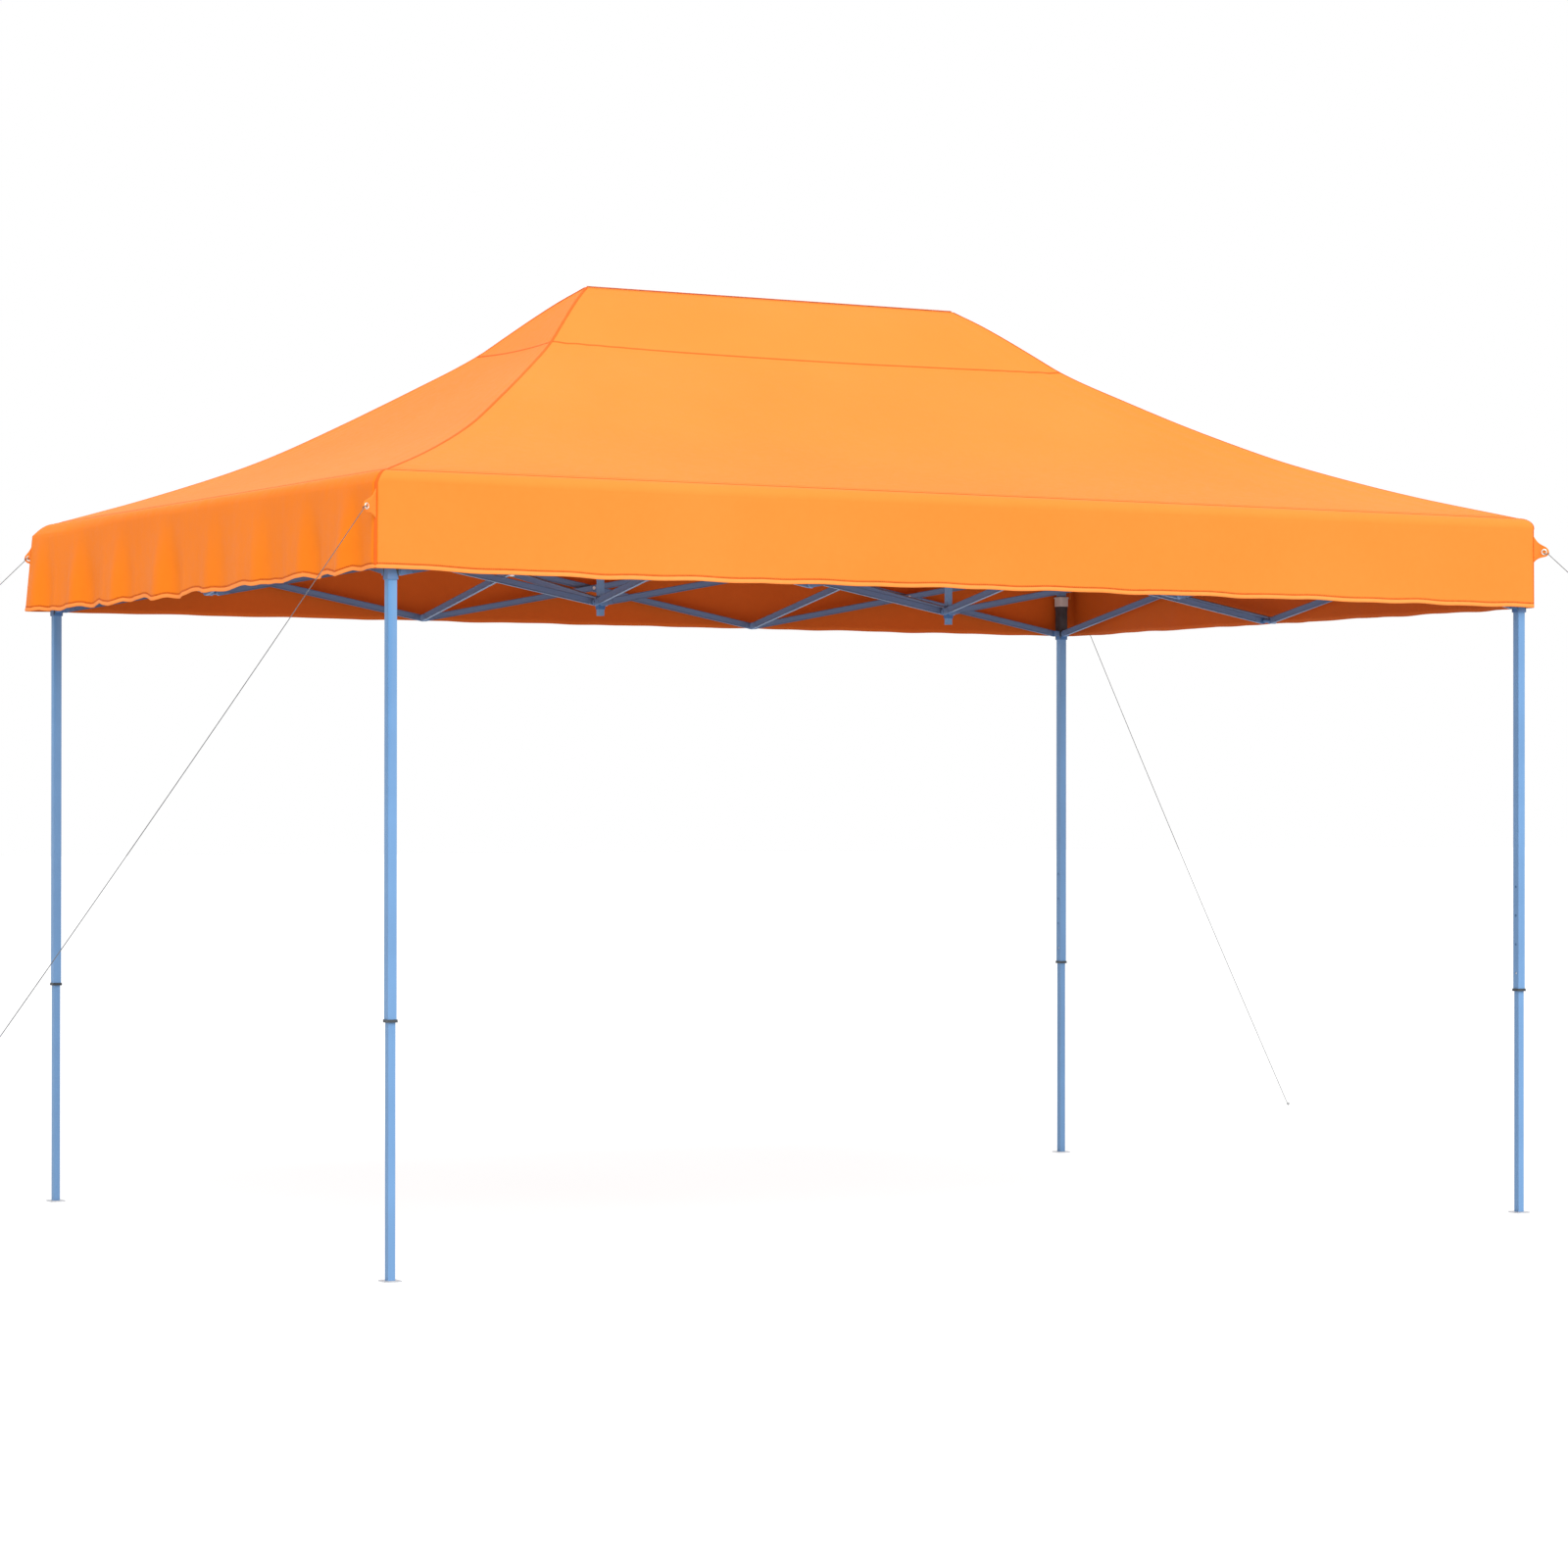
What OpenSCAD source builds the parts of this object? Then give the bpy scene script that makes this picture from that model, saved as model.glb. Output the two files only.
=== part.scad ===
// Folding party shelter: scissor frame on four telescoping legs, hipped fabric roof, four guy ropes.
// Millimetres, +Z up. The origin is on the ground under the middle of the frame.
// X runs along the long side, Y runs along the short side.

/* [Frame] */
// distance from the centre line to the leg axis along X
half_len = 2140; // [1800:10:2600]
// height of the upper scissor joints above the ground
z_up = 2368; // [2000:1:2600]
// height from the lower scissor joints to the upper ones when the frame is open
truss_h = 262; // [200:1:400]
// distance from a node's axis to the pin of each bar that ends there
pin_off = 30; // [26:1:60]

/* [Scissor bars] */
// height of the bar tube's section
bar_w = 23; // [16:1:30]
// thickness of the bar tube's section
bar_t = 12; // [8:1:16]
// wall of the bar tube
bar_wall = 1.0; // [0.6:0.1:2]
// radius of the scissor bolts
bolt_r = 3.0; // [2:0.5:4]

/* [Legs] */
// outer tube, outside size
leg_w = 28; // [24:1:40]
// outer tube, wall
leg_wall = 1.2; // [0.8:0.1:2]
// inner tube, outside size
inner_w = 23; // [18:1:34]
// height of the outer tube's lower end
leg_z0 = 777; // [500:1:1000]
// height of the top of the leg bracket
leg_z1 = 2396.5; // [2100:0.5:2700]
// height of the inner tube's top when the leg is pulled out
inner_z1 = 1505; // [1000:5:1600]
// side of the square foot plate
foot_w = 52; // [40:1:90]
// thickness of the foot plate
foot_t = 4; // [2:0.5:8]

/* [Middle posts] */
// outside size of the post tube
post_w = 20; // [16:1:30]
// outside size of the upper, sliding post tube
post_in = 17; // [12:1:26]
// height of the top of the post caps
post_z1 = 3163; // [2800:0.5:3400]

/* [Canopy] */
// half length of the ridge
ridge_x = 736; // [400:1:1000]
// height of the ridge
ridge_z = 3190; // [2800:5:3500]
// half length of the roof at the valance
roof_x = 2196; // [1900:1:2700]
// half width of the roof at the valance
roof_y = 1470; // [1200:1:1800]
// height of the top of the valance
eave_z = 2393; // [2200:1:2600]
// height of the bottom of the valance
hem_z = 2098; // [1900:1:2300]
// thickness of the fabric
cloth_t = 1.0; // [0.5:0.1:3]

/* [Guy ropes] */
// radius of a rope
rope_r = 1.2; // [1:0.1:4]

/* [View] */
// which sub-part to draw

/* [Hidden] */
$fn = 48;
cell = (2 * half_len - 2 * pin_off) / 3;
half_wid = cell + pin_off;
z_lo = z_up - truss_h;
bar_len = sqrt(cell * cell + truss_h * truss_h);
tilt = asin(truss_h / bar_len);
post_x = half_len - pin_off - cell;
edge_x = half_len - pin_off;
edge_y = cell;
rim = 7.5;   // layer offset of the bars round the rim
mid = 19;    // layer offset of the bars beside the posts
run = 0.1;   // running clearance on a bolt
post_mid = 2760; // top of the lower post tube
post_bot = 2140; // lower end of the upper post tube
plug_l = 14; // how far a bar's end plug reaches past its pin
blue = [0.36, 0.55, 0.72];
navy = [0.2, 0.36, 0.56];
black = [0.12, 0.12, 0.13];
white = [0.92, 0.92, 0.9];
steel = [0.7, 0.71, 0.73];
orange = [0.97, 0.6, 0.27];
grey = [0.74, 0.74, 0.73];
rope_grey = [0.72, 0.73, 0.74];

// ---------- scissor bars ----------

// a bar from its pin at the origin along +X, thickness along Y; side is the way to the bar it crosses,
// gap the distance between the two bars' centre planes; own_bolt puts the crossing bolt on this bar
module bar(side, gap, own_bolt, boss0 = false, boss1 = false) {
    color(blue) difference() {
        translate([plug_l, -bar_t / 2, -bar_w / 2]) cube([bar_len - 2 * plug_l, bar_t, bar_w]);
        translate([plug_l - 1, -bar_t / 2 + bar_wall, -bar_w / 2 + bar_wall])
            cube([bar_len - 2 * plug_l + 2, bar_t - 2 * bar_wall, bar_w - 2 * bar_wall]);
        translate([bar_len / 2, 0, 0]) rotate([90, 0, 0]) cylinder(r = bolt_r + run, h = bar_t + 2, center = true);
    }
    color(navy) bar_plug(side, boss0);
    color(navy) translate([bar_len, 0, 0]) mirror([1, 0, 0]) bar_plug(side, boss1);
    if (own_bolt) {
        span = gap + bar_t + 0.8;
        color(steel) translate([bar_len / 2, side * gap / 2, 0]) rotate([90, 0, 0]) {
            cylinder(r = bolt_r, h = span, center = true);
            for (s = [-1, 1]) translate([0, 0, s * (span / 2 + 1.2)]) cylinder(r = 6.5, h = 2.4, center = true);
        }
        color(white) translate([bar_len / 2, side * gap / 2, 0]) rotate([90, 0, 0]) difference() {
            cylinder(r = gap > 20 ? 8 : 11, h = gap - bar_t - 0.4, center = true);
            cylinder(r = bolt_r + run, h = gap, center = true);
        }
    }
}

// the plastic plug at a bar's end, round the pin
module bar_plug(side, boss) {
    difference() {
        union() {
            rotate([90, 0, 0]) cylinder(r = bar_w / 2 - 0.1, h = bar_t, center = true);
            translate([0, -bar_t / 2, -bar_w / 2]) cube([plug_l - 0.1, bar_t, bar_w]);
            translate([plug_l - 2, -bar_t / 2 + bar_wall + 0.1, -bar_w / 2 + bar_wall + 0.1])
                cube([22, bar_t - 2 * bar_wall - 0.2, bar_w - 2 * bar_wall - 0.2]);
            if (boss) translate([0, side * (bar_t / 2 + 1.9), 0]) rotate([90, 0, 0]) cylinder(r = 5, h = 3.8, center = true);
        }
        if (!boss) rotate([90, 0, 0]) cylinder(r = bolt_r + run, h = bar_t + 2, center = true);
    }
}

// bars in an XZ plane; x0 is the left pin, y the truss plane
module x_down(x0, y, off, boss0 = false, boss1 = false)
    translate([x0, y + off, z_up]) rotate([0, tilt, 0]) bar(-1, 2 * off, true, boss0, boss1);
module x_up(x0, y, off, boss0 = false, boss1 = false)
    translate([x0, y - off, z_lo]) rotate([0, -tilt, 0]) bar(1, 2 * off, false, boss0, boss1);
// bars in a YZ plane; y0 is the front pin, x the truss plane
module y_down(x, y0, off, boss0 = false, boss1 = false)
    translate([x - off, y0, z_up]) rotate([-tilt, 0, 0]) rotate([0, 0, 90]) bar(-1, 2 * off, true, boss0, boss1);
module y_up(x, y0, off, boss0 = false, boss1 = false)
    translate([x + off, y0, z_lo]) rotate([tilt, 0, 0]) rotate([0, 0, 90]) bar(1, 2 * off, false, boss0, boss1);

// bolt of a rim joint, with the round knuckle that faces the inner truss; turn aims it inwards
module knuckle(x, y, z, turn) {
    color(steel) translate([x, y, z]) rotate([0, 0, turn]) rotate([-90, 0, 0]) {
        translate([0, 0, -13.9]) cylinder(r = bolt_r, h = 30);
        translate([0, 0, -16.3]) cylinder(r = 6.5, h = 2.4);
        translate([0, 0, 13.9]) cylinder(r = 8, h = pin_off - 17);
        translate([0, 0, pin_off]) sphere(r = 8.5);
    }
}

// ---------- posts and their hubs ----------

// square hub with a pin on each side
module hub(x, z, bore) {
    color(blue) translate([x, 0, z]) difference() {
        union() {
            translate([-12.2, -12.2, -23]) cube([24.4, 24.4, 46]);
            for (a = [0, 90]) rotate([0, 0, a]) rotate([90, 0, 0]) {
                cylinder(r = bolt_r, h = 2 * (mid + bar_t / 2 + 0.5), center = true);
                for (s = [-1, 1]) translate([0, 0, s * (mid + bar_t / 2 + 1.6)]) cylinder(r = 6.5, h = 2.4, center = true);
            }
        }
        translate([-bore / 2, -bore / 2, -30]) cube([bore, bore, 60]);
    }
}

// lower post tube on the lower hub; it runs down through the upper hub as the frame folds
module post(x) {
    color(blue) translate([x, 0, 0]) difference() {
        translate([-post_w / 2, -post_w / 2, z_lo - 45]) cube([post_w, post_w, post_mid - z_lo + 45]);
        translate([-post_w / 2 + 1.2, -post_w / 2 + 1.2, z_lo - 46]) cube([post_w - 2.4, post_w - 2.4, post_mid - z_lo + 50]);
    }
    hub(x, z_lo, post_w + 0.2);
}

// upper post tube, which telescopes in the lower one, and the mushroom cap under the ridge
module post_top(x) {
    color(blue) translate([x, 0, 0]) difference() {
        translate([-post_in / 2, -post_in / 2, post_bot]) cube([post_in, post_in, post_z1 - 24.7 - post_bot]);
        translate([-post_in / 2 + 1, -post_in / 2 + 1, post_bot - 1]) cube([post_in - 2, post_in - 2, post_z1 - post_bot]);
    }
    color(black) translate([x, 0, 0]) {
        translate([-post_in / 2 + 1.1, -post_in / 2 + 1.1, post_z1 - 60]) cube([post_in - 2.2, post_in - 2.2, 40]);
        translate([0, 0, post_z1 - 24.6]) cylinder(r1 = 16, r2 = 27, h = 12);
        translate([0, 0, post_z1 - 12.6]) cylinder(r = 27, h = 5);
        translate([0, 0, post_z1 - 7.6]) cylinder(r1 = 27, r2 = 17, h = 7.6);
    }
}

// ---------- legs ----------

// lug and pin for one bar, along +X from the leg axis; s is the side of the bar (+1 or -1 along Y)
module lug(s) {
    translate([15, s > 0 ? -12 : -1.2, -11]) cube([25, 13.2, 22]);
    translate([pin_off, 0, 0]) rotate([-s * 90, 0, 0]) {
        cylinder(r = bolt_r, h = 14.2);
        translate([0, 0, 13.9]) cylinder(r = 6.5, h = 2.4);
    }
}

// the two lugs of a leg node: sx, sy point into the frame, bx and by are the sides of its two bars
module lugs(sx, sy, bx, by) {
    if (sx > 0) lug(bx); else rotate([0, 0, 180]) lug(-bx);
    // the bar along Y lies at by along X
    if (sy > 0) rotate([0, 0, 90]) lug(-by); else rotate([0, 0, -90]) lug(by);
}

module outer_leg(sx, sy) {
    x = -sx * half_len;
    y = -sy * half_wid;
    b = leg_w - 2 * leg_wall;
    translate([x, y, 0]) {
        // tube with its row of locking holes on the face along X that looks into the frame
        color(blue) difference() {
            translate([-leg_w / 2, -leg_w / 2, leg_z0]) cube([leg_w, leg_w, leg_z1 - 35 - leg_z0]);
            translate([-b / 2, -b / 2, leg_z0 - 1]) cube([b, b, leg_z1 - leg_z0]);
            for (z = [830, 930, 1030, 1130]) translate([sx * 10, 0, z]) rotate([0, 90, 0]) cylinder(r = 4.5, h = 10, center = true);
        }
        // plastic collar on the lower end
        color(black) difference() {
            translate([-16.5, -16.5, leg_z0 - 9]) cube([33, 33, 8.9]);
            translate([-inner_w / 2 - 0.25, -inner_w / 2 - 0.25, leg_z0 - 10]) cube([inner_w + 0.5, inner_w + 0.5, 12]);
        }
        // top bracket with two lugs
        color(black) difference() {
            union() {
                translate([-17, -17, z_up - 40]) cube([34, 34, leg_z1 - z_up + 40]);
                translate([0, 0, z_up]) lugs(sx, sy, sx, -sy);
            }
            translate([-leg_w / 2 - 0.1, -leg_w / 2 - 0.1, z_up - 60]) cube([leg_w + 0.2, leg_w + 0.2, leg_z1 - 34.8 - z_up + 60]);
        }
    }
}

module inner_leg(sx, sy) {
    w = inner_w;
    translate([-sx * half_len, -sy * half_wid, 0]) {
        color(blue) difference() {
            translate([-w / 2, -w / 2, foot_t + 0.1]) cube([w, w, inner_z1 - foot_t - 2]);
            translate([-w / 2 + 1, -w / 2 + 1, foot_t]) cube([w - 2, w - 2, inner_z1]);
        }
        // foot plate with its socket
        color(steel) {
            difference() {
                translate([-foot_w / 2, -foot_w / 2, 0]) cube([foot_w, foot_w, foot_t]);
                for (a = [45, 225]) rotate([0, 0, a]) translate([foot_w / 2 + 3, 0, -1]) cylinder(r = 4, h = foot_t + 2);
            }
            translate([-w / 2 + 1.1, -w / 2 + 1.1, foot_t - 1]) cube([w - 2.2, w - 2.2, 26]);
        }
        // guide at the top of the inner tube
        color(black) difference() {
            translate([-12.6, -12.6, inner_z1 - 26]) cube([25.2, 25.2, 26]);
            translate([-w / 2 - 0.1, -w / 2 - 0.1, inner_z1 - 27]) cube([w + 0.2, w + 0.2, 25.3]);
        }
        // spring button behind the lowest hole
        color(steel) translate([sx * (w / 2 + 0.55), 0, 830]) rotate([0, 90, 0]) cylinder(r = 4, h = 0.9, center = true);
    }
}

module slider(sx, sy) {
    b = leg_w + 0.6;
    color(black) translate([-sx * half_len, -sy * half_wid, z_lo]) difference() {
        union() {
            translate([-17.3, -17.3, -24]) cube([34.6, 34.6, 134]);
            translate([-18.3, -18.3, 96]) cube([36.6, 36.6, 14]);
            lugs(sx, sy, -sx, sy);
        }
        translate([-b / 2, -b / 2, -40]) cube([b, b, 170]);
    }
}

// pull ring round the leg that slides up to free the slider
module catch(sx, sy) {
    b = leg_w + 0.6;
    color(grey) translate([-sx * half_len, -sy * half_wid, z_lo]) difference() {
        union() {
            translate([-19.5, -19.5, 110.6]) cube([39, 39, 38]);
            translate([-21, -21, 142.6]) cube([42, 42, 6]);
        }
        translate([-b / 2, -b / 2, 100]) cube([b, b, 60]);
    }
}

// ---------- canopy ----------

// roof levels: [share of the way from ridge to valance, height]
levels = [[0, ridge_z], [0.2, 2955], [0.55, 2655], [1, eave_z]];
function lx(i) = ridge_x + (roof_x - ridge_x) * levels[i][0];
function ly(i) = max(2, roof_y * levels[i][0]);
seam = 0.3;

// a thin slab over four corners, given anticlockwise from above
module slab(a, b, c, d) {
    dz = [0, 0, -cloth_t];
    polyhedron([a, b, c, d, a + dz, b + dz, c + dz, d + dz],
        [[3, 2, 1, 0], [4, 5, 6, 7], [0, 1, 5, 4], [1, 2, 6, 5], [2, 3, 7, 6], [3, 0, 4, 7]]);
}

module canopy() {
    color(orange) {
        for (i = [0:2]) {
            zi = levels[i][1];
            zo = levels[i + 1][1] + seam * (zi - levels[i + 1][1]) / (ly(i + 1) - ly(i));
            // front and back panels
            for (s = [-1, 1]) scale([1, s, 1]) mirror([0, 0, 0])
                slab([-lx(i) + seam, -ly(i) - seam, zi], [-lx(i + 1) + 2 * seam, -ly(i + 1) + seam, zo],
                     [lx(i + 1) - 2 * seam, -ly(i + 1) + seam, zo], [lx(i) - seam, -ly(i) - seam, zi]);
            // side panels
            for (s = [-1, 1]) scale([s, 1, 1])
                slab([-lx(i + 1) + seam, -ly(i + 1) + 2 * seam, zo], [-lx(i) - seam, -ly(i) + seam, zi],
                     [-lx(i) - seam, ly(i) - seam, zi], [-lx(i + 1) + seam, ly(i + 1) - 2 * seam, zo]);
        }
        // valance
        for (s = [-1, 1]) {
            translate([-roof_x + 1.4, s > 0 ? roof_y - cloth_t : -roof_y, hem_z]) cube([2 * roof_x - 2.8, cloth_t, eave_z - hem_z - 1.4]);
            translate([s > 0 ? roof_x - cloth_t : -roof_x, -roof_y, hem_z]) cube([cloth_t, 2 * roof_y, eave_z - hem_z - 1.4]);
        }
    }
    // eyelets of the four corner tabs
    color(steel) for (sx = [-1, 1], sy = [-1, 1])
        translate(tab(sx, sy)) rotate([0, 0, sx * sy * 34]) rotate([90, 0, 0]) difference() {
            cylinder(r = 11, h = 2.4, center = true);
            cylinder(r = 6, h = 4, center = true);
        }
}

// ---------- guy ropes ----------

// the eyelet of each corner tab
tab_fl = [-2238, -1481, 2294];
tab_fr = [2208, -1489, 2291];
tab_bl = [-2222, 1492, 2288];
tab_br = [2222, 1488, 2290];
function tab(sx, sy) = sx < 0 ? (sy < 0 ? tab_fl : tab_bl) : (sy < 0 ? tab_fr : tab_br);
// where each rope meets the ground: [x, y]
peg_fl = [-4450, -2860];
peg_fr = [4356, -2825];
peg_bl = [-4317, 2805];
peg_br = [4284, 2789];
// height of the loop at a rope's lower end, where it would hook on a peg's head
peg_z = 28;
rope_n = 24;
rope_sag = 22;
function rope_top(sx, sy, p) = let (q = tab(sx, sy), d = [p[0] - q[0], p[1] - q[1]], n = norm(d))
    [q[0] + d[0] / n * 13, q[1] + d[1] / n * 13, q[2] - 6];
function rope_route(sx, sy, p) = let (a = rope_top(sx, sy, p), b = [p[0], p[1], peg_z])
    [for (i = [0:rope_n]) let (t = i / rope_n) a + (b - a) * t - [0, 0, rope_sag * 4 * t * (1 - t) * (1 - 0.25 * t)]];

// a round tube along a route
module rope_tube(pts, r, sides) {
    n = len(pts);
    function dir(i) = let (v = pts[min(i + 1, n - 1)] - pts[max(i - 1, 0)]) v / norm(v);
    function ring(i) = let (d = dir(i), u = cross(d, [0, 0, 1]) / norm(cross(d, [0, 0, 1])), w = cross(u, d))
        [for (k = [0:sides - 1]) pts[i] + r * (cos(360 * k / sides) * u + sin(360 * k / sides) * w)];
    polyhedron([for (i = [0:n - 1]) each ring(i)],
        concat([[for (k = [0:sides - 1]) k]],
            [for (i = [0:n - 2], k = [0:sides - 1]) [i * sides + k, (i + 1) * sides + k, (i + 1) * sides + (k + 1) % sides, i * sides + (k + 1) % sides]],
            [[for (k = [sides - 1:-1:0]) (n - 1) * sides + k]]));
}

// ---------- sub-parts ----------

module crown_l() { hub(-post_x, z_up, post_w + 0.6); }
module crown_r() { hub(post_x, z_up, post_w + 0.6); }
module post_l() { post(-post_x); }
module post_r() { post(post_x); }
module post_top_l() { post_top(-post_x); }
module post_top_r() { post_top(post_x); }
module knuckle_l() { knuckle(-half_len, 0, z_lo, -90); }
module leg_fl() { outer_leg(1, 1); }
module inner_fl() { inner_leg(1, 1); }
module slider_fl() { slider(1, 1); }
module catch_fl() { catch(1, 1); }
module leg_fr() { outer_leg(-1, 1); }
module inner_fr() { inner_leg(-1, 1); }
module slider_fr() { slider(-1, 1); }
module catch_fr() { catch(-1, 1); }
module leg_bl() { outer_leg(1, -1); }
module inner_bl() { inner_leg(1, -1); }
module slider_bl() { slider(1, -1); catch(1, -1); }
module leg_br() { outer_leg(-1, -1); }
module inner_br() { inner_leg(-1, -1); }
module slider_br() { slider(-1, -1); catch(-1, -1); }
module bar_b1a() { x_down(-edge_x, half_wid, rim); knuckle(-post_x, half_wid, z_lo, 180); }
module bar_b1b() { x_up(-edge_x, half_wid, rim); knuckle(-post_x, half_wid, z_up, 180); }
module bar_b2a() { x_down(-post_x, half_wid, rim); knuckle(post_x, half_wid, z_lo, 180); }
module bar_b2b() { x_up(-post_x, half_wid, rim); knuckle(post_x, half_wid, z_up, 180); }
module bar_b3a() { x_down(post_x, half_wid, rim); }
module bar_b3b() { x_up(post_x, half_wid, rim); }
module bar_f1a() { x_down(-edge_x, -half_wid, rim); knuckle(-post_x, -half_wid, z_lo, 0); }
module bar_f1b() { x_up(-edge_x, -half_wid, rim); knuckle(-post_x, -half_wid, z_up, 0); }
module bar_f2a() { x_down(-post_x, -half_wid, rim); knuckle(post_x, -half_wid, z_lo, 0); }
module bar_f2b() { x_up(-post_x, -half_wid, rim); knuckle(post_x, -half_wid, z_up, 0); }
module bar_f3a() { x_down(post_x, -half_wid, rim); }
module bar_f3b() { x_up(post_x, -half_wid, rim); }
module bar_l1a() { y_down(-half_len, -edge_y, rim); }
module bar_l1b() { y_up(-half_len, -edge_y, rim); knuckle(-half_len, 0, z_up, -90); }
module bar_l2a() { y_down(-half_len, 0, rim); }
module bar_l2b() { y_up(-half_len, 0, rim); }
module bar_m1a() { x_down(-edge_x, 0, mid, boss0 = true); }
module bar_m1b() { x_up(-edge_x, 0, mid, boss0 = true); }
module bar_m2a() { x_down(-post_x, 0, mid); }
module bar_m2b() { x_up(-post_x, 0, mid); }
module bar_m3a() { x_down(post_x, 0, mid, boss1 = true); }
module bar_m3b() { x_up(post_x, 0, mid, boss1 = true); }
module bar_p1a() { y_down(-post_x, -edge_y, mid, boss0 = true); }
module bar_p1b() { y_up(-post_x, -edge_y, mid, boss0 = true); }
module bar_p2a() { y_down(-post_x, 0, mid, boss1 = true); }
module bar_p2b() { y_up(-post_x, 0, mid, boss1 = true); }
module bar_q1a() { y_down(post_x, -edge_y, mid, boss0 = true); }
module bar_q1b() { y_up(post_x, -edge_y, mid, boss0 = true); }
module bar_q2a() { y_down(post_x, 0, mid, boss1 = true); }
module bar_q2b() { y_up(post_x, 0, mid, boss1 = true); }
module bar_r1a() { y_down(half_len, -edge_y, rim); knuckle(half_len, 0, z_lo, 90); }
module bar_r1b() { y_up(half_len, -edge_y, rim); knuckle(half_len, 0, z_up, 90); }
module bar_r2a() { y_down(half_len, 0, rim); }
module bar_r2b() { y_up(half_len, 0, rim); }
module rope_fl() { color(rope_grey) rope_tube(rope_route(-1, -1, peg_fl), rope_r, 8); }
module rope_fr() { color(rope_grey) rope_tube(rope_route(1, -1, peg_fr), rope_r, 8); }
module rope_bl() { color(rope_grey) rope_tube(rope_route(-1, 1, peg_bl), rope_r, 8); }
module rope_br() { color(rope_grey) rope_tube(rope_route(1, 1, peg_br), rope_r, 8); }

crown_l();
crown_r();
post_l();
post_r();
post_top_l();
post_top_r();
knuckle_l();
leg_fl();
inner_fl();
slider_fl();
catch_fl();
leg_fr();
inner_fr();
slider_fr();
catch_fr();
leg_bl();
inner_bl();
slider_bl();
leg_br();
inner_br();
slider_br();
bar_b1a();
bar_b1b();
bar_b2a();
bar_b2b();
bar_b3a();
bar_b3b();
bar_f1a();
bar_f1b();
bar_f2a();
bar_f2b();
bar_f3a();
bar_f3b();
bar_l1a();
bar_l1b();
bar_l2a();
bar_l2b();
bar_m1a();
bar_m1b();
bar_m2a();
bar_m2b();
bar_m3a();
bar_m3b();
bar_p1a();
bar_p1b();
bar_p2a();
bar_p2b();
bar_q1a();
bar_q1b();
bar_q2a();
bar_q2b();
bar_r1a();
bar_r1b();
bar_r2a();
bar_r2b();
canopy();
rope_fl();
rope_fr();
rope_bl();
rope_br();
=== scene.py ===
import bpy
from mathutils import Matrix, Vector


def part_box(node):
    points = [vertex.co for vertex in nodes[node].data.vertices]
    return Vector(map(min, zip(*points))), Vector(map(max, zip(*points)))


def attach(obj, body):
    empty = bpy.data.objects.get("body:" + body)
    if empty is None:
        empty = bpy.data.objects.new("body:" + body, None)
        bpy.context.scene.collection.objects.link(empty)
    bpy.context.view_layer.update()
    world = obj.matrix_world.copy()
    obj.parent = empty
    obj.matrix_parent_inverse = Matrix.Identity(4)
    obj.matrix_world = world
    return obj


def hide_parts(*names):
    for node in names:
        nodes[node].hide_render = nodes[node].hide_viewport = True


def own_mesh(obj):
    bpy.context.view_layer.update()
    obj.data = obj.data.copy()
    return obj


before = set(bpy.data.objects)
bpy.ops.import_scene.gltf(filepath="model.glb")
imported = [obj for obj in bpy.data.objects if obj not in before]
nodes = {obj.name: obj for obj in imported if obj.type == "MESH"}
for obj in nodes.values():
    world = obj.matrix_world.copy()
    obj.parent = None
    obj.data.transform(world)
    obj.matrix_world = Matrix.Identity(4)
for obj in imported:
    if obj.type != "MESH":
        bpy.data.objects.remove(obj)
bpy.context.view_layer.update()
import math
import random

import bmesh
import bpy
import numpy as np
from mathutils import Matrix, Vector, noise

# ---------------------------------------------------------------- camera
C = (-7.29965451, -12.83578928, 1.42404003)
RIGHT = Vector((0.868597429, -0.495517923, 0.000702775695))
UP = Vector((-0.00267279, -0.00326691, 0.99999109))
FWD = Vector((0.49551121, 0.86859157, 0.00416205))
cam_data = bpy.data.cameras.new("camera")
cam_data.sensor_width = 36.0
cam_data.sensor_fit = "HORIZONTAL"
cam_data.lens = 4286.429 / 1600 * 36.0
cam_data.clip_end = 200
cam = bpy.data.objects.new("camera", cam_data)
bpy.context.scene.collection.objects.link(cam)
cam.matrix_world = Matrix((
    (RIGHT.x, UP.x, -FWD.x, C[0]),
    (RIGHT.y, UP.y, -FWD.y, C[1]),
    (RIGHT.z, UP.z, -FWD.z, C[2]),
    (0, 0, 0, 1)))
bpy.context.scene.camera = cam
bpy.context.scene.view_settings.view_transform = "Standard"
bpy.context.scene.view_settings.look = "None"


# ---------------------------------------------------------------- helpers
def new_obj(name, verts, faces, mats=(), smooth=True, uvs=None):
    me = bpy.data.meshes.new(name)
    me.from_pydata([tuple(v) for v in verts], [], [tuple(f) for f in faces])
    for m in mats:
        me.materials.append(m)
    if smooth:
        me.polygons.foreach_set("use_smooth", [True] * len(me.polygons))
    if uvs is not None:
        layer = me.uv_layers.new(name="UVMap")
        for loop in me.loops:
            layer.data[loop.index].uv = uvs[loop.vertex_index]
    me.update()
    ob = bpy.data.objects.new(name, me)
    bpy.context.scene.collection.objects.link(ob)
    return ob


def apply_modifiers(ob):
    dg = bpy.context.evaluated_depsgraph_get()
    me = bpy.data.meshes.new_from_object(ob.evaluated_get(dg))
    ob.modifiers.clear()
    old = ob.data
    ob.data = me
    bpy.data.meshes.remove(old)


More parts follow.
